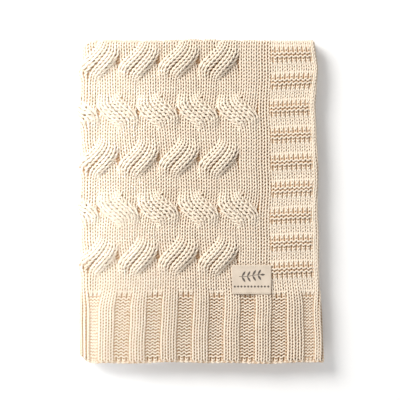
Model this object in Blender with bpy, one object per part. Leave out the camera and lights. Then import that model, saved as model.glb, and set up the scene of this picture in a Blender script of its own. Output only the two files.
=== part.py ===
"""A chunky knitted cotton throw, folded in quarters and lying flat, with a woven label sewn on top.

The throw is one knitted panel. It is folded over once across its length, which makes the folds
along the pack's far edge, and then once across its width, which makes the wide fold down the
pack's left side. The panel is modelled as the four quarters that lie on each other and the folds
that join them, because opening the last fold moves the upper two quarters as one body.

Frame: metres, X across the pack towards the selvedges, Y along it towards the far folds, Z up,
with the origin under the middle of the pack, on the surface that it lies on.
"""

import math

import bmesh
import bpy
from mathutils import Matrix, Vector

# Driving dimensions, in metres.
PACK_WIDTH = 0.380  # left fold to selvedges
PACK_LENGTH = 0.518  # far folds to cast-on edges
LAYER_THICKNESS = 0.0083  # one layer of the knitted fabric
CLEARANCE = 0.0003  # between pieces that touch
FOLD_CORE_RADIUS = 0.0010  # the air left inside a tight fold
EDGE_STEPS = (0.0030, 0.0010, 0.0020, 0.0)  # how far each layer's free edges stop short, floor up
CORNER_RADIUS = 0.014  # the panel's rounded corners, seen from above
RIM_RADIUS = 0.0036  # the rolled lip of the free edges
BORDER_WIDTH = 0.0775  # selvedge to the welted border's inner side, where the label stops
HEM_HEIGHT = 0.1133  # cast-on edge to the top of the ribbed hem, where the label stands
LABEL_WIDTH = 0.062
LABEL_HEIGHT = 0.046
LABEL_THICKNESS = 0.0006
THREAD_RADIUS = 0.00035
THREAD_INSET = 0.0025  # from the label's edges

# How finely round shapes are cut.
FOLD_STEPS = 20
BEVEL_STEPS = 6
THREAD_SIDES = 12

# What follows from them.
PITCH = LAYER_THICKNESS + CLEARANCE
PACK_THICKNESS = 4 * LAYER_THICKNESS + 3 * CLEARANCE
TIGHT_RADIUS = LAYER_THICKNESS + CLEARANCE / 2  # the outside of a fold of one layer onto the next
LIP_RADIUS = min(RIM_RADIUS, 0.45 * LAYER_THICKNESS)  # a lip is never thicker than its layer
MIDDLE = PACK_THICKNESS / 2
LEFT, RIGHT = -PACK_WIDTH / 2, PACK_WIDTH / 2
NEAR, FAR = -PACK_LENGTH / 2, PACK_LENGTH / 2
SIDE_FOLD_X = LEFT + PACK_THICKNESS / 2  # where the side fold's curve starts
FAR_FOLD_Y = FAR - TIGHT_RADIUS  # where the far folds' curves start
HINGE_X = SIDE_FOLD_X - LAYER_THICKNESS / 2  # in the innermost layer, at its fold

QUARTERS = ("bottom_quarter", "second_quarter", "third_quarter", "top_quarter")


def clear_scene():
    for ob in list(bpy.data.objects):
        bpy.data.objects.remove(ob, do_unlink=True)


def material(name, colour, roughness):
    mat = bpy.data.materials.new(name)
    mat.use_nodes = True
    shader = mat.node_tree.nodes["Principled BSDF"]
    shader.inputs["Base Color"].default_value = (*colour, 1.0)
    shader.inputs["Roughness"].default_value = roughness
    shader.inputs["Metallic"].default_value = 0.0
    return mat


def add_object(name, bm, mat, parent=None):
    """An object of this bmesh, its faces turned out, with its origin at its parent's."""
    bmesh.ops.recalc_face_normals(bm, faces=bm.faces)
    place = parent.location.copy() if parent else Vector((0.0, 0.0, 0.0))
    bmesh.ops.translate(bm, verts=bm.verts, vec=-place)
    mesh = bpy.data.meshes.new(name)
    bm.to_mesh(mesh)
    bm.free()
    mesh.materials.append(mat)
    mesh.shade_smooth()
    mesh.set_sharp_from_angle(angle=math.radians(40))
    ob = bpy.data.objects.new(name, mesh)
    bpy.context.collection.objects.link(ob)
    if parent:
        ob.parent = parent
    return ob


def hinge_empty():
    """The line in the side fold that the upper half turns about when the throw is opened."""
    empty = bpy.data.objects.new("opening_hinge", None)
    empty.location = (HINGE_X, 0.0, MIDDLE)
    bpy.context.collection.objects.link(empty)
    return empty


def box(low, high):
    bm = bmesh.new()
    bmesh.ops.create_cube(bm, size=1.0)
    low, high = Vector(low), Vector(high)
    size = high - low
    bmesh.ops.scale(bm, vec=size, verts=bm.verts)
    bmesh.ops.translate(bm, vec=(low + high) / 2, verts=bm.verts)
    return bm


def bevel(bm, edges, radius):
    bmesh.ops.bevel(
        bm,
        geom=edges,
        offset=radius,
        offset_type="OFFSET",
        segments=BEVEL_STEPS,
        profile=0.5,
        affect="EDGES",
        clamp_overlap=True,
    )


def quarter(level):
    """One layer of the pack: square against the folds, with a round corner and a rolled lip where it ends."""
    step = EDGE_STEPS[level]
    low = (SIDE_FOLD_X + CLEARANCE, NEAR + step, level * PITCH)
    high = (RIGHT - step, FAR_FOLD_Y - CLEARANCE, level * PITCH + LAYER_THICKNESS)
    bm = box(low, high)
    nearly = CLEARANCE / 10

    def at_free_corner(vert):
        return vert.co.x > high[0] - nearly and vert.co.y < low[1] + nearly

    bevel(bm, [e for e in bm.edges if all(at_free_corner(v) for v in e.verts)], CORNER_RADIUS)

    def on_rim(edge):
        a, b = (v.co for v in edge.verts)
        level_edge = abs(a.z - b.z) < nearly
        beside_side_fold = max(a.x, b.x) < low[0] + nearly
        beside_far_fold = min(a.y, b.y) > high[1] - nearly
        return level_edge and not beside_side_fold and not beside_far_fold

    bevel(bm, [e for e in bm.edges if on_rim(e)], LIP_RADIUS)
    return bm


def half_ring(centre, outer, inner):
    """A half ring's outline in the plane of a fold, as (distance outwards, height) pairs."""
    turns = [math.pi * (i / FOLD_STEPS - 0.5) for i in range(FOLD_STEPS + 1)]
    out = [(centre[0] + outer * math.cos(a), centre[1] + outer * math.sin(a)) for a in turns]
    back = [(centre[0] + inner * math.cos(a), centre[1] + inner * math.sin(a)) for a in reversed(turns)]
    return out + back


def extruded(points, along):
    """The closed solid that the outline sweeps when it is moved along a vector."""
    bm = bmesh.new()
    face = bm.faces.new([bm.verts.new(p) for p in points])
    swept = bmesh.ops.extrude_face_region(bm, geom=[face], use_keep_orig=True)
    moved = [v for v in swept["geom"] if isinstance(v, bmesh.types.BMVert)]
    bmesh.ops.translate(bm, vec=along, verts=moved)
    return bm


def side_fold(outer, inner, step):
    """One layer's bend round the pack's left side, from the cast-on edge to the far folds."""
    outline = half_ring((0.0, MIDDLE), outer, inner)
    start = NEAR + step
    points = [(SIDE_FOLD_X - out, start, height) for out, height in outline]
    return extruded(points, Vector((0.0, FAR_FOLD_Y - CLEARANCE - start, 0.0)))


def far_fold(lower_level):
    """The bend that joins two quarters along the pack's far edge."""
    height = lower_level * PITCH + TIGHT_RADIUS
    outline = half_ring((0.0, height), TIGHT_RADIUS, FOLD_CORE_RADIUS)
    start = SIDE_FOLD_X + CLEARANCE
    points = [(start, FAR_FOLD_Y + out, up) for out, up in outline]
    end = RIGHT - EDGE_STEPS[lower_level + 1]
    return extruded(points, Vector((end - start, 0.0, 0.0)))


def corner_fold():
    """Where the far fold goes round the left side, between the outer and the inner bend."""
    outline = half_ring((0.0, PITCH), TIGHT_RADIUS, FOLD_CORE_RADIUS)
    radii = [max(radius, FOLD_CORE_RADIUS) for _, radius in outline]
    points = [
        (SIDE_FOLD_X, FAR_FOLD_Y + out, MIDDLE - radius) for (out, _), radius in zip(outline, radii)
    ]
    bm = bmesh.new()
    verts = [bm.verts.new(p) for p in points]
    edges = [bm.edges.new((a, b)) for a, b in zip(verts, verts[1:] + verts[:1])]
    swept = bmesh.ops.spin(
        bm,
        geom=verts + edges,
        cent=(SIDE_FOLD_X, 0.0, MIDDLE),
        axis=(0.0, 1.0, 0.0),
        angle=math.pi,
        steps=FOLD_STEPS,
    )
    last = [v for v in swept["geom_last"] if isinstance(v, bmesh.types.BMVert)]
    bm.faces.new(verts)
    bm.faces.new(last)
    return bm


def label_box():
    """The woven label's corners: at the border's inner side, standing on the hem."""
    low = Vector((RIGHT - BORDER_WIDTH - LABEL_WIDTH, NEAR + HEM_HEIGHT, PACK_THICKNESS + CLEARANCE))
    return low, low + Vector((LABEL_WIDTH, LABEL_HEIGHT, LABEL_THICKNESS))


def thread_run(y):
    """The line of sewing thread that holds one edge of the label."""
    low, high = label_box()
    length = high.x - low.x - 2 * THREAD_INSET
    centre = Vector(((low.x + high.x) / 2, y, high.z + CLEARANCE + THREAD_RADIUS))
    bm = bmesh.new()
    bmesh.ops.create_cone(
        bm,
        cap_ends=True,
        segments=THREAD_SIDES,
        radius1=THREAD_RADIUS,
        radius2=THREAD_RADIUS,
        depth=length,
        matrix=Matrix.Translation(centre) @ Matrix.Rotation(math.pi / 2, 4, "Y"),
    )
    return bm


def build():
    clear_scene()
    hinge = hinge_empty()
    knit = material("cream_cotton_knit", (0.86, 0.75, 0.59), 0.9)
    tape = material("woven_label_tape", (0.72, 0.64, 0.53), 0.75)
    thread = material("sewing_thread", (0.66, 0.58, 0.47), 0.7)

    for level, name in enumerate(QUARTERS):
        add_object(name, quarter(level), knit, hinge if level > 1 else None)
    add_object("lower_far_fold", far_fold(0), knit)
    add_object("upper_far_fold", far_fold(2), knit, hinge)

    outer_bend = side_fold(MIDDLE, MIDDLE - LAYER_THICKNESS, EDGE_STEPS[3])
    add_object("outer_side_fold", outer_bend, knit)
    add_object("inner_side_fold", side_fold(TIGHT_RADIUS, FOLD_CORE_RADIUS, EDGE_STEPS[1]), knit)
    add_object("corner_fold", corner_fold(), knit)

    low, high = label_box()
    add_object("woven_label", box(low, high), tape, hinge)
    add_object("label_thread_near", thread_run(low.y + THREAD_INSET), thread, hinge)
    add_object("label_thread_far", thread_run(high.y - THREAD_INSET), thread, hinge)


build()
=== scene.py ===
"""The look of the folded throw: its knitting, stitch by stitch as yarn, its label, and the studio.

The throw is one panel of WALES x COURSES stitches. Each row of it is one yarn, drawn as loops on the
flat panel, moved by the cables, and then folded twice. Places on the panel are given as a wale and a
course number, wales counted from the upper half's selvedge and courses from the cast-on edge.
"""

import math

import bmesh
import bpy
import numpy as np
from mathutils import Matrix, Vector


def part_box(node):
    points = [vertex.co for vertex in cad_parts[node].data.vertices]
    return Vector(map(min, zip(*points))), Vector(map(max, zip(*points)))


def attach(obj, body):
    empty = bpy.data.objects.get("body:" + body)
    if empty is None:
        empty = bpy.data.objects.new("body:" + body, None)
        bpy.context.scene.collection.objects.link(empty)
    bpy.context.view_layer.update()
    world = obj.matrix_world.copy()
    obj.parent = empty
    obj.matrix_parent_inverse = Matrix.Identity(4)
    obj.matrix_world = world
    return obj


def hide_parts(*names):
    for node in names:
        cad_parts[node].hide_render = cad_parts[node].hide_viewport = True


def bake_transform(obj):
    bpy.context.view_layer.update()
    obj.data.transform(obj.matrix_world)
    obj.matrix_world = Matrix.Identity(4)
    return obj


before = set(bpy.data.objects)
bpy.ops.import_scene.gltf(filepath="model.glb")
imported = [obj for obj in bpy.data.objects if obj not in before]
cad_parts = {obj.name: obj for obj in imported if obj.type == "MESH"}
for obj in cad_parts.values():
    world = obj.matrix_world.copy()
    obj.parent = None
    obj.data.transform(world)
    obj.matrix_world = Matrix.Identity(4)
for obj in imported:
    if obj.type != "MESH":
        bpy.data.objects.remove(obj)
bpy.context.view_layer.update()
rng = np.random.default_rng(7)

# The panel, in stitches.
WALES = 98
COURSES = 195
HALF = WALES / 2
HEM_COURSES = 22
EDGE_WALES = 2  # always knit, beside the selvedge
BORDER_WALES = 11  # edge wales and welted wales
CABLE_START = 13  # the first wale of the first cable strand
STRAND_WALES = 4
STRANDS = 18
FIRST_WELT = 27  # the course where the first purl band of the border starts
WELT = 4  # courses in a band
FIRST_CROSSING = 32.5  # the courses where the cable strands cross
CROSSING_STEP = 14.5
CROSSINGS = 10

# What the stitches measure, in metres.
COURSE = 0.005333
HEM_COURSE = 0.00483
CABLE_WALE = 0.00796
FIELD_WIDTHS = [0.0050] * 2 + [0.00739] * 9 + [0.0091] * 2 + [CABLE_WALE] * 36
HEM_WIDTHS = (
    [0.0071] * 2 + [0.0052] * 3 + [0.0090] * 3 + ([0.0080] * 3 + [0.0086] * 3) * 6
    + [0.0040] * 3 + [0.0096] * 2
)
YARN_RADIUS = 0.00142
TIGHT_BORDER = 0.10  # how much more room the yarn fills in the border's narrow stitches
LOOP_DEPTH = 0.0016  # from the fabric's middle to the yarn's, at a leg or a head
LOOP_REACH = 0.92  # a loop's head above its course's middle, in courses
LOOP_SPLAY = 0.23  # how far a leg leans, in wales
PURL_REACH = 1.28  # the same two for a purl stitch
PURL_SPLAY = 0.16
LAST_PURL_REACH = 1.2  # a purl stitch with a knit one, or the edge, over or under it
LAST_PURL_DEPTH = 0.25  # how deep its legs lie, in those of others
EDGE_TURN = 0.45  # how far a row's end swings past the selvedge, in wales
CHAIN_RADIUS = 0.0010  # the twist of the cast-on and cast-off edges
CHAIN_PLACE = 0.3  # how far outside the panel these edges run, in courses
UNEVEN_YARN = 0.04  # how much the yarn's radius and the loops' reach vary, as shares
UNEVEN_LOOPS = 0.05
HALF_THICKNESS = LOOP_DEPTH + YARN_RADIUS

# How the knitting is cut into pieces, in courses and wales.
BANDS = (
    ("hem", 0, 33), ("middle", 33, 65), ("far", 65, 95),
    ("inner_far", 95, 130), ("inner_middle", 130, 162), ("inner_hem", 162, COURSES),
)
CORNER_START, CORNER_END = 95, 100  # the strip's courses that go round the corner fold
CUTS = (46, 52)  # the strip over the side fold, between the two halves
# The outer layers' yarn is cut further out, between two strands, because a rope that rode on one half
# would reach over the fold when the throw is opened.
OUTER_CUTS = (CABLE_START + 7 * STRAND_WALES, CABLE_START + 11 * STRAND_WALES)
OUTER_DEPTH = 0.0062  # from the outer layers' middle to below their deepest stitches, in metres
CORNER_SPAN = 0.62  # the corner strip's span up and down, as a share of the pitch
INSET = 0.3  # how far the backing stops short of the panel's edges, in stitches

# How finely the yarn is cut.
STEPS = 12  # along one stitch
SIDES = 5  # around the yarn
TAIL = 5  # steps in the turn at a selvedge
WALE_STEPS = np.pad(np.linspace(0, WALES, WALES * STEPS + 1), TAIL, "edge")
OWNERS = np.clip(WALE_STEPS, 0, WALES - 0.001).astype(int)  # the wale of each step along a row

# Where the folds are, from the frame.
top_low, top_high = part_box("top_quarter")
third_low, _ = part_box("third_quarter")
PITCH = top_low.z - third_low.z  # from one layer to the next
TIGHT = PITCH / 2  # the fabric's radius where one layer folds onto the next
MIDDLE = top_high.z / 2
FOLD_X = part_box("outer_side_fold")[1].x
FOLD_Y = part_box("lower_far_fold")[0].y
OUTER_RADIUS = PITCH + TIGHT  # the side fold's radius in the outer layers


def smooth(x):
    """A step from 0 to 1 with level ends."""
    x = np.clip(x, 0.0, 1.0)
    return x * x * (3 - 2 * x)


# ---------------------------------------------------------------- the flat panel


def wale_edges(widths):
    """Each wale's edge, as its distance from the middle of the side fold, selvedge first."""
    return np.append(np.cumsum(widths[::-1])[::-1], 0.0)


FIELD_EDGES = wale_edges(FIELD_WIDTHS)
HEM_EDGES = wale_edges(HEM_WIDTHS)
FULL_SPAN = FIELD_EDGES[0]

# How far the selvedges reach from the middle of the panel, course by course: one list for each half.
UPPER_REACH = (
    (0, 0.3904), (8, 0.3890), (22, 0.3852), (32, 0.3838), (46, 0.3816), (60, 0.3818), (72, 0.3796),
    (78, 0.3778), (89, 0.3830), (98, 0.3756), (105, 0.3755), (130, 0.3755), (170, 0.3765), (195, 0.3820),
)
LOWER_REACH = ((0, 0.3820), (40, 0.3790), (98, 0.3745), (130, 0.3740), (195, 0.3805))
HIDDEN_SHARE = 0.996  # how long the lower layers are drawn, to that of the upper ones


def selvedge_reach(upper, q):
    return np.where(upper, np.interp(q, *zip(*UPPER_REACH)), np.interp(q, *zip(*LOWER_REACH)))


def mirrored_course(q):
    return np.minimum(q, COURSES - q)


def course_reach(q):
    """Distance along the panel from the tip of the far fold, positive towards the cast-on edge."""
    near = mirrored_course(q)
    field = (COURSES / 2 - near) * COURSE
    hem = (COURSES / 2 - HEM_COURSES) * COURSE + (HEM_COURSES - near) * HEM_COURSE
    reach = np.where(near < HEM_COURSES, hem, field)
    return np.where(q < COURSES / 2, reach, -HIDDEN_SHARE * reach)


PANEL_REACH = course_reach(np.array(0.0))


def wale_reach(c, q):
    """Distance across the panel from the middle of the side fold, positive on the upper half."""
    upper = c < HALF
    near = np.where(upper, c, WALES - c)
    number = np.arange(len(FIELD_EDGES))
    in_field = smooth((mirrored_course(q) - 16) / 10)
    edges = [np.interp(near, number, e) for e in (HEM_EDGES, FIELD_EDGES)]
    reach = edges[0] + (edges[1] - edges[0]) * in_field
    past = np.maximum(-near, 0) * FIELD_WIDTHS[0]  # a turn beyond the selvedge
    border = HEM_EDGES[BORDER_WALES] + (FIELD_EDGES[BORDER_WALES] - HEM_EDGES[BORDER_WALES]) * in_field
    full = HEM_EDGES[0] + (FULL_SPAN - HEM_EDGES[0]) * in_field
    stretch = (selvedge_reach(upper, q) - border) / (full - border)
    reach = np.where(reach > border, border + (reach - border) * stretch, reach) + past
    return np.where(upper, reach, -reach)


def stitch_kinds():
    """+1 for each knit stitch and -1 for each purl one, by course and wale."""
    course, wale = np.meshgrid(np.arange(COURSES), np.arange(WALES), indexing="ij")
    course = np.minimum(course, COURSES - 1 - course)
    wale = np.minimum(wale, WALES - 1 - wale)
    rib = (course < HEM_COURSES) & (wale >= EDGE_WALES) & ((wale - EDGE_WALES) % 6 < 3)
    banded = (wale >= EDGE_WALES) & (wale < BORDER_WALES)
    welt = (course >= FIRST_WELT) & banded & ((course - FIRST_WELT) % (2 * WELT) < WELT)
    return np.where(rib | welt, -1.0, 1.0)


# How far stitches stand out of the fabric's middle, in metres.
RIBS = (-0.0009, -0.0012, -0.0009, 0.0022, 0.0034, 0.0022)  # the hem's wales, three purl and three knit
EDGE_RISE = 0.0014  # the wales beside the selvedge
FOLDED_RIBS = (-0.0016, 0.0010)  # the last purl wales and the knit ones at the side fold
BAND = (0.0012, 0.0020, 0.0020, 0.0012, -0.0006, -0.0010, -0.0010, -0.0006)  # the border's courses


def relief():
    """How far each stitch stands out of the fabric's middle: the ribs of the hem and the border's bands."""
    course, wale = np.meshgrid(np.arange(COURSES), np.arange(WALES), indexing="ij")
    course = np.minimum(course, COURSES - 1 - course)
    wale = np.minimum(wale, WALES - 1 - wale)
    lane = (wale - EDGE_WALES) % 6
    rib = np.array(RIBS)[lane]
    rib = np.where(wale < EDGE_WALES, EDGE_RISE, rib)
    rib = np.where((wale >= 44) & (wale < 47), FOLDED_RIBS[0], rib)
    rib = np.where(wale >= 47, FOLDED_RIBS[1], rib)
    hem = rib * smooth((HEM_COURSES + 2 - course) / 4.0)
    phase = (course - FIRST_WELT) % (2 * WELT)
    band = np.array(BAND)[phase]
    banded = (wale >= EDGE_WALES) & (wale < BORDER_WALES) & (course >= HEM_COURSES + 2)
    across = smooth((wale - 0.5) / 2.5) * smooth((BORDER_WALES + 0.5 - wale) / 2.0)
    return hem + np.where(banded, band * across, 0.0)


KINDS = stitch_kinds()
RELIEF = relief()


def between_stitches(grid, c, q):
    """A value of the grid of stitches, read between their middles."""
    c = np.clip(c - 0.5, 0, WALES - 1.001)
    q = np.clip(q - 0.5, 0, COURSES - 1.001)
    j, n = c.astype(int), q.astype(int)
    u, v = c - j, q - n
    low = grid[n, j] * (1 - u) + grid[n, j + 1] * u
    high = grid[n + 1, j] * (1 - u) + grid[n + 1, j + 1] * u
    return low * (1 - v) + high * v


# ---------------------------------------------------------------- cables

# In pairs: the crossings that rise to the right, and those that rise to the left.
ROPE_START = (-3.0, -2.7)  # a front strand moves one place sideways from this many courses after a crossing
ROPE_END = (5.4, 3.6)  # to this many, turning quickly at first and slowly at the end
ROPE_SPREAD = (0.70, 0.75)  # how many courses later each next wale of it bends
ROPE_NARROWED = (0.30, 0.46)  # how much narrower it is drawn where it lies across
ROPE_HEIGHT = (0.0088, 0.0058)
ROPE_EASE = 0.8  # below 1, the turn starts more quickly
ROPE_TOP = 0.4  # where a rope stands highest, in courses after its crossing
ROPE_RUN = 4.9  # in how many courses it rises to there
WANDER = 0.42  # the share of its inner wales' move that is slow, all the way between the crossings
SLIP_COURSES = 2.6  # a back strand's wales slip over this many, under the rope
SLIP_SPREAD = 2.2  # how many courses later each next wale of the back strand slips
SLIP_MIDDLE = 0.5  # and how long after the crossing
SUNK = 0.0018  # how far the back strand is pressed down
SUNK_RUN = 4.0  # in how many courses it gets there
CREASE = 0.30  # how far a rope's two halves part, in wales
CREASE_WIDTH = 0.42
CREASE_DEPTH = 0.42  # as a share of the rope's height
CROWN = 0.0016  # how rounded a strand is between the crossings
PACKED_SHADE_LIFT = 0.0022  # how much the painted shade between a rope's tight stitches is lightened, as added height for that shade
PACKED_MORE = 1.5  # the same where it rises to the left
ROPE_YARN = 0.12  # how much more room the yarn fills there


def cables(c, q, j, n):
    """What the crossings do to a point of stitch (j, n).

    Returns its shift across, along and out, and how packed the yarn is there.
    """
    crossing = np.clip(np.round((n + 0.5 - FIRST_CROSSING) / CROSSING_STEP), 0, CROSSINGS - 1)
    centre = FIRST_CROSSING + CROSSING_STEP * crossing
    even = crossing % 2 == 0
    strand = (j - CABLE_START) // STRAND_WALES
    right = np.where(even, strand % 2 == 1, strand % 2 == 0)  # the right strand of its pair
    idle = (strand < 0) | (strand >= STRANDS) | (even & ((strand == 0) | (strand == STRANDS - 1)))
    lane = CABLE_START + STRAND_WALES * (strand + 0.5) - c
    own_lane = CABLE_START + STRAND_WALES * (strand + 0.5) - (j + 0.5)
    below = n + 0.5 <= centre
    rising_right = right != below
    front = rising_right == even
    way = np.where(rising_right, 1.0, -1.0)
    half = STRAND_WALES / 2 * CABLE_WALE
    place = np.where(right, half, -half)
    tau = q - centre

    start, end, spread, narrowed, height = (
        np.where(even, *pair) for pair in (ROPE_START, ROPE_END, ROPE_SPREAD, ROPE_NARROWED, ROPE_HEIGHT)
    )
    x = np.clip((tau + way * spread * lane - start) / (end - start), 1e-6, 1)
    y = x**ROPE_EASE
    slow_turn = math.pi * np.clip(tau / CROSSING_STEP, -0.5, 0.5)
    outward = way * np.tanh(tau / 2) * np.clip(lane / 2, -1, 1)
    wander = WANDER * (1 - outward) / 2
    slow = wander * np.sin(slow_turn)
    moved = way * half * ((1 - wander) * (2 * smooth(y) - 1) + slow)
    quick_lean = (1 - wander) * 12 * ROPE_EASE * y * (1 - y) * y / x / (end - start)
    slow_lean = wander * math.pi / CROSSING_STEP * np.cos(slow_turn)
    lean = way * half * (quick_lean + slow_lean) / COURSE
    length = np.sqrt(1 + lean * lean)
    near = smooth(1.2 - np.abs(tau - ROPE_TOP) / ROPE_RUN)
    parted = (lane + CREASE * near * np.tanh(lane / 0.35)) * (1 - narrowed * (1 - 1 / length**2))
    rope_across = moved - place + CABLE_WALE * (parted / length - lane)
    rope_along = CABLE_WALE * lane * lean / length
    crease = CREASE_DEPTH * np.exp(-((lane / CREASE_WIDTH) ** 2))
    profile = 1 - 0.95 * np.clip(np.abs(lane) / 2.0, 0, 1.2) ** 2.6 - crease
    rope_out = height * near * profile

    slip = np.clip((tau - SLIP_MIDDLE + way * SLIP_SPREAD * own_lane) / SLIP_COURSES + 0.5, 0, 1)
    slip_across = way * half * ((1 - wander) * (2 * smooth(slip) - 1) + slow) - place
    slip_out = -SUNK * smooth(1.6 - np.abs(tau) / SUNK_RUN)

    across = np.where(idle, 0.0, np.where(front, rope_across, slip_across))
    along = np.where(idle | ~front, 0.0, rope_along)
    crown = CROWN * (0.35 - (lane / 2) ** 4)
    in_cables = (strand >= 0) & (strand < STRANDS) & (mirrored_course(n) > HEM_COURSES)
    out = np.where(idle, 0.0, np.where(front, rope_out, slip_out)) + np.where(in_cables, crown, 0.0)
    # A rope's middle crease is left out of the packing, so it keeps its painted shade and its yarn stays
    # thinner.
    opened = np.exp(-((lane / 0.45) ** 2)) * smooth((2.5 - tau) / 3.0)
    packed = near * np.where(even, 1 - opened, PACKED_MORE)
    return across, along, out, np.where(idle | ~front, 0.0, packed)


# ---------------------------------------------------------------- folding

ROLL_RADIUS = 0.0026  # the selvedge's curl
ROLL_LENGTH = 0.0063
ROLL_END = 3.4  # radians
CORNER_DRAW = 0.012  # how far the side fold's end is drawn in at the hem
FAR_DRAW = 0.009
CORNER_WIDTH = 0.013
BULGE = 0.0032  # how far the side fold stands out between its ends
BULGE_WIDTH = 0.014
RELIEF_LIMITS = (0.0005, 0.0020, 0.0130)  # under the pack, between its layers, and on top


def settle(s, r):
    """The uneven lie of soft fabric: a slow drift across and along, and a slow rise and fall."""
    across = 0.0010 * np.sin(r * 31 + 1.1) + 0.0006 * np.sin(r * 73 + s * 11)
    along = 0.0009 * np.sin(s * 27 + 0.4) + 0.0006 * np.sin(s * 61 + 2.0)
    out = 0.0005 * np.sin(s * 43 + r * 17) + 0.0004 * np.sin(r * 57 - s * 29 + 1.0)
    resting = smooth((0.01 - s) / 0.02) * smooth((r + 0.01) / 0.02)  # the layer that lies on the floor
    out = out * (1 - 0.8 * resting)
    out = out + BULGE * np.exp(-((s / BULGE_WIDTH) ** 2)) * smooth((r - 0.01) / 0.02)
    return across, along, out


def relief_limit(s, r):
    """What may stand out of a layer, by where the layer lies in the pack."""
    bottom, inside, top = RELIEF_LIMITS
    outer = bottom + (top - bottom) * smooth((s + 0.012) / 0.024)
    return inside + (outer - inside) * smooth((r + 0.006) / 0.012)


def fold(s, r, out):
    """A point of the flat panel, in the folded pack. The right side faces out of every layer."""
    drift_s, drift_r, drift_out = settle(s, r)
    s = s + drift_s * smooth(np.abs(s) / 0.1)
    drawn = CORNER_DRAW * np.exp(-((s / CORNER_WIDTH) ** 2)) * smooth((np.abs(r) - 0.44) / 0.08)
    r = r + (drift_r - drawn * np.sign(r)) * smooth(np.abs(r) / 0.05)
    # The selvedge curls to the wrong side.
    side = np.where(s < 0, -1.0, 1.0)
    q = np.interp(np.abs(r), (0.0, PANEL_REACH), (COURSES / 2, 0.0))
    q = np.where(r < 0, COURSES - q, q)
    reach = selvedge_reach(s > 0, q)
    turn = np.clip((ROLL_LENGTH - (reach - np.abs(s))) / ROLL_RADIUS, 0, ROLL_END)
    out = out + drift_out
    extreme = reach - ROLL_LENGTH
    rolled = turn > 0
    flat_s = np.where(rolled, extreme + (ROLL_RADIUS + out) * np.sin(turn), np.abs(s))
    out = np.where(rolled, (ROLL_RADIUS + out) * np.cos(turn) - ROLL_RADIUS, out)
    s = side * flat_s
    # The first fold, along the far edge.
    turn = np.clip(r / TIGHT, -math.pi / 2, math.pi / 2)
    straight = np.maximum(np.abs(r) - math.pi / 2 * TIGHT, 0)
    y = FOLD_Y + (TIGHT + out) * np.cos(turn) - straight
    y = y - FAR_DRAW * np.exp(-((s / CORNER_WIDTH) ** 2)) * (1 - smooth(np.abs(r) / 0.09))
    w = (TIGHT + out) * np.sin(turn)
    # The second fold, down the left side.
    middle = PITCH + TIGHT * np.sin(turn)
    radius = PITCH + w
    arc = math.pi / 2 * middle
    turn = np.clip(s / middle, -math.pi / 2, math.pi / 2)
    straight = np.maximum(np.abs(s) - arc, 0)
    even_out = (FULL_SPAN - math.pi / 2 * OUTER_RADIUS) / (FULL_SPAN - arc)
    x = FOLD_X - radius * np.cos(turn) + straight * even_out
    z = MIDDLE + radius * np.sin(turn)
    return np.stack([x, y, z], axis=-1)


# ---------------------------------------------------------------- yarn


def yarn_lines():
    """Every row of loops and the two edge chains: wale, course, height, owner stitch, along each line."""
    wale, owner = WALE_STEPS, OWNERS
    row = np.arange(COURSES)[:, None]
    t = 2 * math.pi * (wale - 0.5)[None, :]
    loose = 1 + UNEVEN_LOOPS * rng.standard_normal((COURSES, WALES))[:, owner]
    kind = KINDS[:, owner]
    phase = wale - owner
    before = KINDS[:, np.clip(owner - 1, 0, WALES - 1)]
    after = KINDS[:, np.clip(owner + 1, 0, WALES - 1)]
    kind = np.where(phase < 0.15, (before + kind) / 2 + (kind - before) * phase / 0.3, kind)
    kind = np.where(phase > 0.85, kind + (after - kind) * (phase - 0.85) / 0.3, kind)
    purl = (1 - kind) / 2
    around = np.pad(KINDS, ((1, 1), (0, 0)), constant_values=1.0)
    last_purl = (purl > 0.5) & (np.maximum(around[:-2], around[2:])[:, owner] > 0)
    reach = LOOP_REACH + (PURL_REACH - LOOP_REACH) * purl
    c = wale + (LOOP_SPLAY + (PURL_SPLAY - LOOP_SPLAY) * purl) * np.sin(2 * t)
    q = row + 0.5 + np.where(last_purl, LAST_PURL_REACH, reach) * loose * np.cos(t)
    h = -kind * LOOP_DEPTH * np.cos(2 * t)
    h = np.where(last_purl & (h < 0), LAST_PURL_DEPTH * h, h)
    turn = np.linspace(1, 0, TAIL + 1)[:TAIL]
    c = c + np.zeros((COURSES, 1))
    q = q + np.zeros_like(c)
    for ends, v in ((slice(0, TAIL), turn), (slice(-TAIL, None), turn[::-1])):
        out = -EDGE_TURN if ends.start == 0 else EDGE_TURN
        c[:, ends] += out * np.sin(math.pi * v)
        q[:, ends] += v
    n = row + np.zeros_like(c, int)
    j = owner[None, :] + np.zeros_like(n)
    lines = [(c, q, h, j, n)]
    for edge, row_n in ((-CHAIN_PLACE, 0), (COURSES + CHAIN_PLACE, COURSES - 1)):
        angle = 2 * math.pi * wale
        chain_q = edge + CHAIN_RADIUS / COURSE * np.cos(angle)
        chain_h = CHAIN_RADIUS * np.sin(angle)
        lines.append(tuple(a[None, :] for a in (wale + 0.0, chain_q, chain_h, owner, owner * 0 + row_n)))
    order = [1, 0, 2]
    return [np.concatenate([lines[k][part] for k in order]) for part in range(5)]


def laid(c, q, h, j, n):
    """Where the points are on the flat panel, cables and relief included."""
    across, along, out, packed = cables(c, q, j, n)
    s = wale_reach(c, q) + across
    r = course_reach(q) + along
    rise = between_stitches(RELIEF, c, q) + out
    limit = relief_limit(s, r)
    rise = np.where(rise > 0, limit * np.tanh(rise / limit), rise)
    return s, r, h + rise, packed


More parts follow.
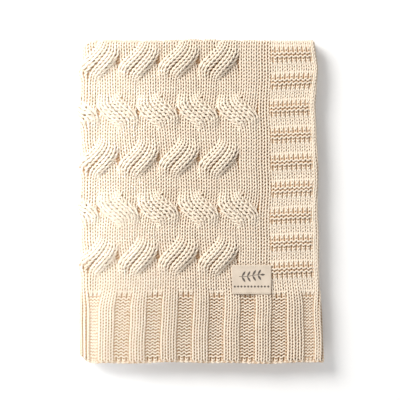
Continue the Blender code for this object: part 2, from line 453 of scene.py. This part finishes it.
def yarn_paths():
    """The middle of every line of yarn in the pack, and the fabric's outward direction there."""
    c, q, h, j, n = yarn_lines()
    phase = (WALE_STEPS - OWNERS)[None, :]
    own = laid(c, q, h, j, n)
    other_j = np.clip(np.where(phase < 0.5, j - 1, j + 1), 0, WALES - 1)
    other = laid(c, q, h, other_j, n)
    share = 0.5 * (1 - smooth(np.minimum(phase, 1 - phase) / 0.17))
    share[:, : TAIL + 1] = 0
    share[:, -TAIL - 1 :] = 0
    s, r, out, packed = (a * (1 - share) + b * share for a, b in zip(own, other))
    paths = fold(s, r, out)
    outward = fold(s, r, out + 0.0002) - paths
    outward /= np.linalg.norm(outward, axis=-1, keepdims=True)
    # The third value is the height that sets the yarn's painted shade, lightened where a rope's stitches
    # are packed; the last makes packed yarn fuller.
    return paths, outward, h + PACKED_SHADE_LIFT * packed, ROPE_YARN * packed


def mesh_object(name, points, loops, starts, mat, smooth_faces, layers=()):
    """An object of these points and faces, with its UV layers given for each corner."""
    mesh = bpy.data.meshes.new(name)
    mesh.vertices.add(len(points))
    mesh.vertices.foreach_set("co", np.ascontiguousarray(points, np.float32).ravel())
    mesh.loops.add(len(loops))
    mesh.loops.foreach_set("vertex_index", loops.astype(np.int32))
    mesh.polygons.add(len(starts))
    mesh.polygons.foreach_set("loop_start", starts.astype(np.int32))
    mesh.update(calc_edges=True)
    mesh.polygons.foreach_set("use_smooth", smooth_faces)
    for layer_name, uv in layers:
        layer = mesh.uv_layers.new(name=layer_name)
        layer.data.foreach_set("uv", np.ascontiguousarray(uv, np.float32).ravel())
    mesh.materials.append(mat)
    ob = bpy.data.objects.new(name, mesh)
    bpy.context.collection.objects.link(ob)
    return ob


def quads(*corners):
    """Faces of these four arrays of vertex numbers."""
    return np.stack(corners, -1).reshape(-1, 4)


def tubes(name, paths, outward, radii, shade_heights, mat):
    """Closed tubes of yarn along these paths, one for each line."""
    lines, steps = paths.shape[:2]
    tangent = np.gradient(paths, axis=1)
    tangent /= np.linalg.norm(tangent, axis=-1, keepdims=True)
    across = np.cross(tangent, outward)
    across /= np.linalg.norm(across, axis=-1, keepdims=True)
    up = np.cross(across, tangent)
    turns = 2 * math.pi * np.arange(SIDES) / SIDES
    ring = across[:, :, None, :] * np.cos(turns)[:, None] + up[:, :, None, :] * np.sin(turns)[:, None]
    points = paths[:, :, None, :] + ring * radii[:, :, None, None]

    index = np.arange(lines * steps * SIDES).reshape(lines, steps, SIDES)
    after = np.roll(index, -1, axis=2)
    sides = quads(index[:, :-1], after[:, :-1], after[:, 1:], index[:, 1:])
    caps = np.concatenate([index[:, 0, ::-1], index[:, -1]])
    loops = np.concatenate([sides.ravel(), caps.ravel()])
    quad_count, cap_count = len(sides), len(caps)
    starts = np.concatenate([4 * np.arange(quad_count), 4 * quad_count + SIDES * np.arange(cap_count)])
    smooth_faces = np.concatenate([np.ones(quad_count, bool), np.zeros(cap_count, bool)])

    length = np.cumsum(np.linalg.norm(np.diff(paths, axis=1, prepend=paths[:, :1]), axis=-1), axis=1)
    turn = np.arange(SIDES) / SIDES
    u = np.broadcast_to(length[:, :, None], index.shape)
    v = np.broadcast_to(turn, index.shape)
    u4 = np.stack([u[:, :-1], u[:, :-1], u[:, 1:], u[:, 1:]], axis=-1)
    v4 = np.stack([v[:, :-1], v[:, :-1] + 1 / SIDES, v[:, :-1] + 1 / SIDES, v[:, :-1]], axis=-1)
    row = np.arange(lines)[:, None, None, None]
    flat_u = 0.001 + 0.998 * u4 / length[:, -1][:, None, None, None]
    flat_v = (row + 0.04 + 0.92 * v4) / lines
    cap_uv = np.zeros((caps.size, 2))
    yarn_map = np.concatenate([np.stack([u4, v4], axis=-1).reshape(-1, 2), cap_uv])
    bake_map = np.concatenate([np.stack([flat_u, flat_v], axis=-1).reshape(-1, 2), cap_uv + 0.0005])
    maps = (("OFBake", bake_map), ("yarn", yarn_map))
    ob = mesh_object(name, points.reshape(-1, 3), loops, starts, mat, smooth_faces, maps)
    # How high each point lies in the fabric, which sets how much painted shade the yarn gets there.
    shade_by_height = ob.data.attributes.new("height", "FLOAT", "POINT")
    raised = shade_heights[:, :, None] + radii[:, :, None] * (ring * outward[:, :, None, :]).sum(-1)
    shade_by_height.data.foreach_set("value", (raised / HALF_THICKNESS).astype(np.float32).ravel())
    return ob


# ---------------------------------------------------------------- the fabric's body, behind the loops, coloured in painted shade

BODY_FRONT = -0.0022  # the body's faces, from the fabric's middle
BODY_BACK = -0.0031
BODY_SUNK = 0.0008  # and how much deeper it lies behind the cables
BODY_FOLLOWS = 0.8  # the share of the stitches' relief that it follows


def fine_near(low, high, step, places, reach, fine_step):
    """Values from low to high, closer together near the given places."""
    values = [low]
    while values[-1] < high - 1e-6:
        near = any(abs(values[-1] + 1e-6 - place) < reach for place in places)
        values.append(min(values[-1] + (fine_step if near else step), high))
    return np.array(values)


def fabric_body(name, wales, courses, mat):
    """A thin closed sheet that fills the knitting's holes from behind. Its dark brown colour is painted
    shade, seen through the holes.
    """
    c = fine_near(*wales, 1.0, (HALF,), 3.0, 0.25)
    q = fine_near(*courses, 1.5, (COURSES / 2,), 3.0, 0.25)
    grid_q, grid_c = np.meshgrid(q, c, indexing="ij")
    s, r = wale_reach(grid_c, grid_q), course_reach(grid_q)
    rise = BODY_FOLLOWS * between_stitches(RELIEF, grid_c, grid_q)
    in_cables = smooth((np.minimum(grid_c, WALES - grid_c) - 12) / 2)
    in_cables = in_cables * smooth((mirrored_course(grid_q) - 26) / 4)
    rise = rise - BODY_SUNK * in_cables
    limit = relief_limit(s, r)
    rise = np.where(rise > 0, limit * np.tanh(rise / limit), rise)
    front, back = fold(s, r, rise + BODY_FRONT), fold(s, r, rise + BODY_BACK)
    rows, columns = grid_c.shape
    index = np.arange(rows * columns).reshape(rows, columns)
    under = index + rows * columns
    faces = [quads(index[:-1, :-1], index[1:, :-1], index[1:, 1:], index[:-1, 1:])]
    faces.append(quads(under[:-1, :-1], under[:-1, 1:], under[1:, 1:], under[1:, :-1]))
    rim = np.concatenate([index[0, :-1], index[:-1, -1], index[-1, :0:-1], index[:0:-1, 0]])
    following = np.roll(rim, -1)
    lower = rim + rows * columns
    faces.append(quads(rim, following, np.roll(lower, -1), lower))
    faces = np.concatenate(faces)
    points = np.concatenate([front.reshape(-1, 3), back.reshape(-1, 3)])
    flat = np.stack([grid_c / WALES, grid_q / COURSES], -1).reshape(-1, 2)
    flat = (flat - flat.min(0)) / (flat.max(0) - flat.min(0))
    side_by_side = np.concatenate([flat * (0.48, 0.96) + 0.01, flat * (0.48, 0.96) + (0.51, 0.01)])
    uv = side_by_side[faces.ravel()]
    uv[-4 * len(rim) :] = 0.985
    starts, smooth_faces = 4 * np.arange(len(faces)), np.ones(len(faces), bool)
    return mesh_object(name, points, faces.ravel(), starts, mat, smooth_faces, (("OFBake", uv),))


# ---------------------------------------------------------------- materials


def new_material(name, colour, roughness, sheen=0.0):
    mat = bpy.data.materials.new(name)
    mat.use_nodes = True
    shader = mat.node_tree.nodes["Principled BSDF"]
    shader.inputs["Base Color"].default_value = (*colour, 1)
    shader.inputs["Roughness"].default_value = roughness
    shader.inputs["Specular IOR Level"].default_value = 0.2
    shader.inputs["Sheen Weight"].default_value = sheen
    shader.inputs["Sheen Roughness"].default_value = 0.5
    shader.inputs["Sheen Tint"].default_value = (1.0, 0.95, 0.86, 1)
    return mat


class Nodes:
    """Short ways to add and link a material's nodes."""

    def __init__(self, mat):
        self.tree = mat.node_tree
        self.shader = self.tree.nodes["Principled BSDF"]

    def add(self, kind, inputs=(), **settings):
        node = self.tree.nodes.new(kind)
        for key, value in settings.items():
            setattr(node, key, value)
        for key, value in dict(inputs).items():
            if isinstance(value, bpy.types.NodeSocket):
                self.tree.links.new(value, node.inputs[key])
            else:
                node.inputs[key].default_value = value
        return node

    def math(self, operation, a, b=0.0, c=0.0):
        return self.add("ShaderNodeMath", {0: a, 1: b, 2: c}, operation=operation).outputs[0]

    def noise(self, scale, detail=2.0, vector=None):
        inputs = {"Scale": scale, "Detail": detail}
        if vector is not None:
            inputs["Vector"] = vector
        return self.add("ShaderNodeTexNoise", inputs).outputs["Fac"]

    def position(self):
        return self.add("ShaderNodeTexCoord").outputs["Object"]

    def two_tones(self, factor, dark, light):
        mix = self.add("ShaderNodeMix", {0: factor, 6: (*dark, 1), 7: (*light, 1)}, data_type="RGBA")
        return mix.outputs[2]

    def colour(self, socket):
        self.tree.links.new(socket, self.shader.inputs["Base Color"])

    def bump(self, height, strength, distance):
        node = self.add("ShaderNodeBump", {"Height": height, "Strength": strength, "Distance": distance})
        self.tree.links.new(node.outputs[0], self.shader.inputs["Normal"])


def yarn_material():
    """Cream cotton yarn of twisted plies, with a little colour variation along it, and painted shade: the
    deeper a point lies in the fabric, the darker and browner it is drawn.
    """
    mat = new_material("cream_cotton_yarn", (0.86, 0.75, 0.59), 0.85, 0.06)
    n = Nodes(mat)
    uv = n.add("ShaderNodeUVMap", uv_map="yarn").outputs[0]
    split = n.add("ShaderNodeSeparateXYZ", {0: uv})
    along = n.math("MULTIPLY", split.outputs[0], 2 * math.pi / 0.0052)
    around = n.math("MULTIPLY", split.outputs[1], 2 * math.pi * 3)
    ply = n.math("SINE", n.math("ADD", along, around))
    fibres = n.noise(1400, 3, n.position())
    n.bump(n.math("ADD", ply, n.math("MULTIPLY", fibres, 0.9)), 0.45, 0.00022)
    slow = n.noise(14, 2, n.position())
    # Painted shade: the grooves between the plies are drawn a little darker and the crests a little
    # lighter.
    ply_groove_shade = n.math("MULTIPLY_ADD", ply, 0.10, 0.5)
    tone = n.math("ADD", n.math("MULTIPLY", slow, 0.5), n.math("MULTIPLY", ply_groove_shade, 0.5))
    # Painted shade: lit is the yarn's colour where it stands out, deep is a darker brown copy for the shade
    # between the stitches; the height attribute mixes them.
    lit = n.two_tones(tone, (0.87, 0.745, 0.595), (0.95, 0.85, 0.725))
    deep = n.two_tones(tone, (0.54, 0.33, 0.165), (0.62, 0.40, 0.22))
    height = n.add("ShaderNodeAttribute", attribute_name="height").outputs["Fac"]
    spread = n.add("ShaderNodeMapRange", {0: height, 1: -0.1, 2: 0.8}, interpolation_type="SMOOTHSTEP")
    mix = n.add("ShaderNodeMix", {0: spread.outputs[0], 6: deep, 7: lit}, data_type="RGBA")
    n.colour(mix.outputs[2])
    return mat


def shade_body_material():
    # Painted shade: the sheet stands for the yarn behind the loops, coloured dark brown for the shade that
    # fills the holes between the stitches.
    mat = new_material("cream_cotton_painted_shade", (0.36, 0.20, 0.09), 0.95)
    n = Nodes(mat)
    n.colour(n.two_tones(n.noise(300, 2, n.position()), (0.44, 0.26, 0.13), (0.54, 0.34, 0.18)))
    return mat


# ---------------------------------------------------------------- the throw


def knit_the_throw():
    yarn = yarn_material()
    body = shade_body_material()
    paths, outward, shade_heights, fuller = yarn_paths()
    lines = len(paths)
    extra = (lines - COURSES) // 2
    wale, course = np.arange(WALES + 1), np.arange(lines) - extra
    banded = np.minimum(wale, WALES - wale)[None, :] < BORDER_WALES
    banded = banded & (mirrored_course(course + 0.5)[:, None] > HEM_COURSES)
    uneven = UNEVEN_YARN * rng.standard_normal((lines, WALES + 1)) + TIGHT_BORDER * banded
    radii = YARN_RADIUS * (1 + np.repeat(uneven, STEPS, axis=1))
    kernel = np.hanning(2 * STEPS + 1)
    kernel /= kernel.sum()
    padded = np.pad(radii, ((0, 0), (STEPS, STEPS)), "edge")
    radii = np.stack([np.convolve(row, kernel, "same") for row in padded])
    radii = radii[:, STEPS : STEPS + paths.shape[1]] * (1 + fuller)

    def piece(name, first_row, last_row, first_wale, last_wale):
        """Rows first_row to last_row of the panel, between two wale edges."""
        a = 0 if first_row == 0 else first_row + extra
        b = lines if last_row == COURSES else last_row + extra
        i = 0 if first_wale == 0 else TAIL + first_wale * STEPS
        k = paths.shape[1] if last_wale == WALES else TAIL + last_wale * STEPS + 1
        part = (slice(a, b), slice(i, k))
        return tubes(name, paths[part], outward[part], radii[part], shade_heights[part], yarn)

    halves = (
        ("upper", "upper_half", ("top_quarter", "third_quarter", "upper_far_fold")),
        ("lower", "lower_half", ("bottom_quarter", "second_quarter", "lower_far_fold")),
    )
    for half, body_name, nodes in halves:
        for band, start, end in BANDS:
            upper_end, lower_start = OUTER_CUTS if end <= CORNER_START else CUTS
            wales = (0, upper_end) if half == "upper" else (lower_start, WALES)
            ob = piece(f"{half}_yarn_{band}", start, end, *wales)
            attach(ob, body_name)
        wales = (INSET, CUTS[0]) if half == "upper" else (CUTS[1], WALES - INSET)
        sheet = fabric_body(f"{half}_fabric", wales, (INSET, COURSES - INSET), body)
        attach(sheet, body_name)
        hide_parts(*nodes)

    strips = (
        ("outer", 0, CORNER_START, OUTER_CUTS, OUTER_RADIUS - OUTER_DEPTH, "outer_side_fold"),
        ("corner", CORNER_START, CORNER_END, CUTS, PITCH * CORNER_SPAN, "corner_fold"),
        ("inner", CORNER_END, COURSES, CUTS, TIGHT - HALF_THICKNESS, "inner_side_fold"),
    )
    for name, start, end, yarn_cuts, span, node in strips:
        ob = piece(f"side_fold_yarn_{name}", start, end, *yarn_cuts)
        sheet = fabric_body(
            f"side_fold_fabric_{name}",
            CUTS,
            (max(start, INSET), min(end, COURSES - INSET)),
            body,
        )
        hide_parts(node)
        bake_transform(ob)
        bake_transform(sheet)


# ---------------------------------------------------------------- the label

# In metres, from the label's middle.
STITCH, STITCH_GAP = 0.0022, 0.0011  # the sewing thread's
STITCH_RADII = (0.00028, 0.00026)
LABEL_LIFT = 0.0004  # the tape's top above its box's, where it lies over the stitches
TURNED_RISE = 0.00022  # the ends turned under, and where they start
TURNED_FROM = 0.0178
END_DROP = 0.0005
END_FROM = 0.0215
STEM = (-0.0195, 0.0140)  # the sprig
STEM_Y = 0.0062
STEM_WAVE = 0.0016
STEM_HALF = 0.0004  # half its thickness
LEAF_LENGTH, LEAF_WIDTH = 0.0100, 0.0031
LEAF_PLACE = 0.0052  # a leaf's middle, from the stem
LEAF_LEAN = math.radians(58)
TIP_LEAF = 0.0078
TIP_PLACE = 0.0176
DIAMONDS = 11
DIAMOND_STEP = 0.0053
DIAMOND_Y = -0.0110
DIAMOND_SIZE = 0.0020
MOTIF_LAYER = (-0.0001, 0.00016)  # the printing's underside and top, from the tape's


def bmesh_object(name, bm, mat):
    mesh = bpy.data.meshes.new(name)
    bm.to_mesh(mesh)
    bm.free()
    mesh.materials.append(mat)
    ob = bpy.data.objects.new(name, mesh)
    bpy.context.collection.objects.link(ob)
    return ob


def grid_solid(name, width, height, thickness, columns, rows, surface, mat):
    """A thin closed patch whose top follows surface(x, y)."""
    x = np.linspace(-width / 2, width / 2, columns)
    y = np.linspace(-height / 2, height / 2, rows)
    gx, gy = np.meshgrid(x, y)
    top = surface(gx, gy)
    index = np.arange(gx.size).reshape(rows, columns)
    under = index + gx.size
    faces = [quads(index[:-1, :-1], index[:-1, 1:], index[1:, 1:], index[1:, :-1])]
    faces.append(quads(under[:-1, :-1], under[1:, :-1], under[1:, 1:], under[:-1, 1:]))
    rim = np.concatenate([index[0, :-1], index[:-1, -1], index[-1, :0:-1], index[:0:-1, 0]])
    lower = rim + gx.size
    faces.append(quads(rim, lower, np.roll(lower, -1), np.roll(rim, -1)))
    faces = np.concatenate(faces)
    points = np.concatenate([np.stack([gx, gy, z], -1).reshape(-1, 3) for z in (top, top - thickness)])
    ob = mesh_object(name, points, faces.ravel(), 4 * np.arange(len(faces)), mat, np.ones(len(faces), bool))
    bevel = ob.modifiers.new("edges", "BEVEL")
    bevel.width = thickness * 0.3
    bevel.segments = 2
    bevel.limit_method = "ANGLE"
    return ob


def label_surface(x, y):
    """The label's slight waves, and the step where its ends are turned under."""
    waves = 0.00022 * np.sin(x * 190 + 0.7) * np.cos(y * 120) + 0.00016 * np.sin(x * 330 + y * 90)
    turned = TURNED_RISE * smooth((np.abs(y) - TURNED_FROM) / 0.0009)
    return waves + turned - END_DROP * smooth((np.abs(y) - END_FROM) / 0.002)


def label_material():
    mat = new_material("label_satin", (0.72, 0.64, 0.53), 0.6, 0.1)
    n = Nodes(mat)
    split = n.add("ShaderNodeSeparateXYZ", {0: n.position()})
    warp = n.math("SINE", n.math("MULTIPLY", split.outputs[0], 2 * math.pi / 0.00045))
    weft = n.math("SINE", n.math("MULTIPLY", split.outputs[1], 2 * math.pi / 0.00060))
    weave = n.math("MULTIPLY", warp, weft)
    n.bump(weave, 0.25, 0.00006)
    tone = n.math("MULTIPLY_ADD", weave, 0.06, n.math("MULTIPLY", n.noise(60, 2, n.position()), 0.9))
    n.colour(n.two_tones(tone, (0.66, 0.555, 0.445), (0.77, 0.665, 0.55)))
    return mat


def motif_material():
    mat = new_material("label_motif", (0.22, 0.18, 0.15), 0.7)
    n = Nodes(mat)
    n.colour(n.two_tones(n.noise(900, 2, n.position()), (0.09, 0.075, 0.065), (0.16, 0.135, 0.115)))
    return mat


def thread_material():
    mat = new_material("label_thread", (0.66, 0.58, 0.47), 0.7)
    n = Nodes(mat)
    n.colour(n.two_tones(n.noise(1200, 2, n.position()), (0.58, 0.50, 0.39), (0.74, 0.66, 0.54)))
    return mat


def leaf_outline(centre, length, width, angle):
    """A pointed leaf, as points round its edge."""
    along = np.concatenate([np.linspace(0, 1, 9), np.linspace(1, 0, 9)[1:-1]])
    side = np.concatenate([np.ones(9), -np.ones(7)])
    x, y = (along - 0.5) * length, side * width / 2 * np.sin(math.pi * along) ** 0.8
    ca, sa = math.cos(angle), math.sin(angle)
    return [(centre[0] + ca * a - sa * b, centre[1] + sa * a + ca * b) for a, b in zip(x, y)]


def motif_shapes():
    """A sprig of leaves on a stem, and a row of small diamonds under it."""
    shapes = []
    t = STEM_HALF
    stem = [(x, STEM_Y + STEM_WAVE * math.sin(x * 110)) for x in np.linspace(*STEM, 25)]
    for (x0, y0), (x1, y1) in zip(stem, stem[1:]):
        shapes.append([(x0, y0 - t), (x1, y1 - t), (x1, y1 + t), (x0, y0 + t)])
    for k in range(4):
        x, y = stem[3 + 6 * k]
        for way in (-1, 1):
            lean = way * LEAF_LEAN
            middle = (x + LEAF_PLACE * math.cos(lean), y + LEAF_PLACE * math.sin(lean))
            shapes.append(leaf_outline(middle, LEAF_LENGTH, LEAF_WIDTH, lean))
    shapes.append(leaf_outline((TIP_PLACE, stem[-1][1]), TIP_LEAF, LEAF_WIDTH, 0.0))
    for k in range(DIAMONDS):
        x, y, size = (k - DIAMONDS // 2) * DIAMOND_STEP, DIAMOND_Y, DIAMOND_SIZE
        shapes.append([(x - size, y), (x, y - size), (x + size, y), (x, y + size)])
    return shapes


def sew_the_label():
    low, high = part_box("woven_label")
    width, height, thickness = high - low
    centre = (low + high) / 2
    top = high.z + LABEL_LIFT
    satin = label_material()
    label = grid_solid("woven_label_tape", width, height, thickness, 63, 47, label_surface, satin)
    label.location = (centre.x, centre.y, top)
    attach(label, "upper_half")
    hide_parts("woven_label")

    bm = bmesh.new()
    for shape in motif_shapes():
        x, y = (sum(values) / len(shape) for values in zip(*shape))
        z = float(label_surface(np.array(x), np.array(y)))
        rims = []
        for lift in MOTIF_LAYER:
            rims.append([bm.verts.new((a, b, z + lift)) for a, b in shape])
        bm.faces.new(rims[1])
        bm.faces.new(rims[0][::-1])
        for a in range(len(shape)):
            b = (a + 1) % len(shape)
            bm.faces.new((rims[0][a], rims[0][b], rims[1][b], rims[1][a]))
    bmesh.ops.recalc_face_normals(bm, faces=bm.faces)
    motif = bmesh_object("label_motif", bm, motif_material())
    motif.location = label.location
    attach(motif, "upper_half")

    thread = thread_material()
    for side in ("near", "far"):
        node = f"label_thread_{side}"
        run_low, run_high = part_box(node)
        y = (run_low.y + run_high.y) / 2
        bm = bmesh.new()
        x = run_low.x
        while x + STITCH < run_high.x:
            z = top + float(label_surface(np.array(x - centre.x), np.array(y - centre.y)))
            made = bmesh.ops.create_uvsphere(bm, u_segments=10, v_segments=8, radius=1.0)["verts"]
            bmesh.ops.scale(bm, vec=(STITCH / 2, *STITCH_RADII), verts=made)
            tilt = 0.00012 * math.sin(x * 5000)
            bmesh.ops.translate(bm, vec=(x + STITCH / 2, y + tilt, z + 0.00006), verts=made)
            x += STITCH + STITCH_GAP
        ob = bmesh_object(f"{node}_stitches", bm, thread)
        ob.data.shade_smooth()
        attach(ob, "upper_half")
        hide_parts(node)


# ---------------------------------------------------------------- the studio

CAMERA_HEIGHT = 3.0  # above the pack's top, looking straight down
CAMERA_Y = 0.0032
FIELD_WIDTH = 0.6332  # what the picture shows across, at the pack's top
FLOOR_HALF = 4.0
FLOOR_Z = -0.0004
FLOOR_GLOW = 0.12
AMBIENT = 0.36


def add_lamp(name, place, energy, aim=None, **settings):
    """An area light that points at a place, or straight down."""
    light = bpy.data.lights.new(name, "AREA")
    light.energy = energy
    for key, value in settings.items():
        setattr(light, key, value)
    lamp = bpy.data.objects.new(name, light)
    lamp.location = place
    if aim is not None:
        lamp.rotation_euler = (Vector(aim) - lamp.location).to_track_quat("-Z", "Y").to_euler()
    bpy.context.collection.objects.link(lamp)


def set_the_studio():
    floor_mat = new_material("floor_white", (0.9, 0.9, 0.9), 1.0)
    glow = floor_mat.node_tree.nodes["Principled BSDF"]
    glow.inputs["Emission Color"].default_value = (1.0, 0.99, 0.98, 1)
    glow.inputs["Emission Strength"].default_value = FLOOR_GLOW
    mesh = bpy.data.meshes.new("floor")
    corners = [(FLOOR_HALF * a, FLOOR_HALF * b, FLOOR_Z) for a, b in ((-1, -1), (1, -1), (1, 1), (-1, 1))]
    mesh.from_pydata(corners, [], [(0, 1, 2, 3)])
    mesh.materials.append(floor_mat)
    floor = bpy.data.objects.new("floor", mesh)
    bpy.context.collection.objects.link(floor)

    world = bpy.data.worlds.new("studio")
    world.use_nodes = True
    background = world.node_tree.nodes["Background"]
    background.inputs["Color"].default_value = (1.0, 1.0, 1.0, 1)
    background.inputs["Strength"].default_value = AMBIENT
    bpy.context.scene.world = world

    add_lamp("key", (-1.55, 1.40, 1.70), 88, (0, 0, 0), shape="DISK", size=1.7, color=(1.0, 0.985, 0.96))
    # The light that pales the side with the fold.
    narrow = dict(shape="RECTANGLE", size=0.10, size_y=0.70, spread=math.radians(24))
    add_lamp("wash", (-0.24, 0.05, 1.0), 0.34, color=(0.88, 0.95, 1.0), **narrow)
    add_lamp("fill", (-0.2, -1.3, 1.2), 6, (0, -0.1, 0), size=0.8)

    camera = bpy.data.cameras.new("camera")
    camera.sensor_width = 36
    camera.lens = camera.sensor_width * CAMERA_HEIGHT / FIELD_WIDTH
    view = bpy.data.objects.new("camera", camera)
    view.location = (0.0, CAMERA_Y, 2 * MIDDLE + CAMERA_HEIGHT)
    bpy.context.collection.objects.link(view)
    bpy.context.scene.camera = view
    bpy.context.scene.view_settings.view_transform = "Standard"


knit_the_throw()
sew_the_label()
set_the_studio()
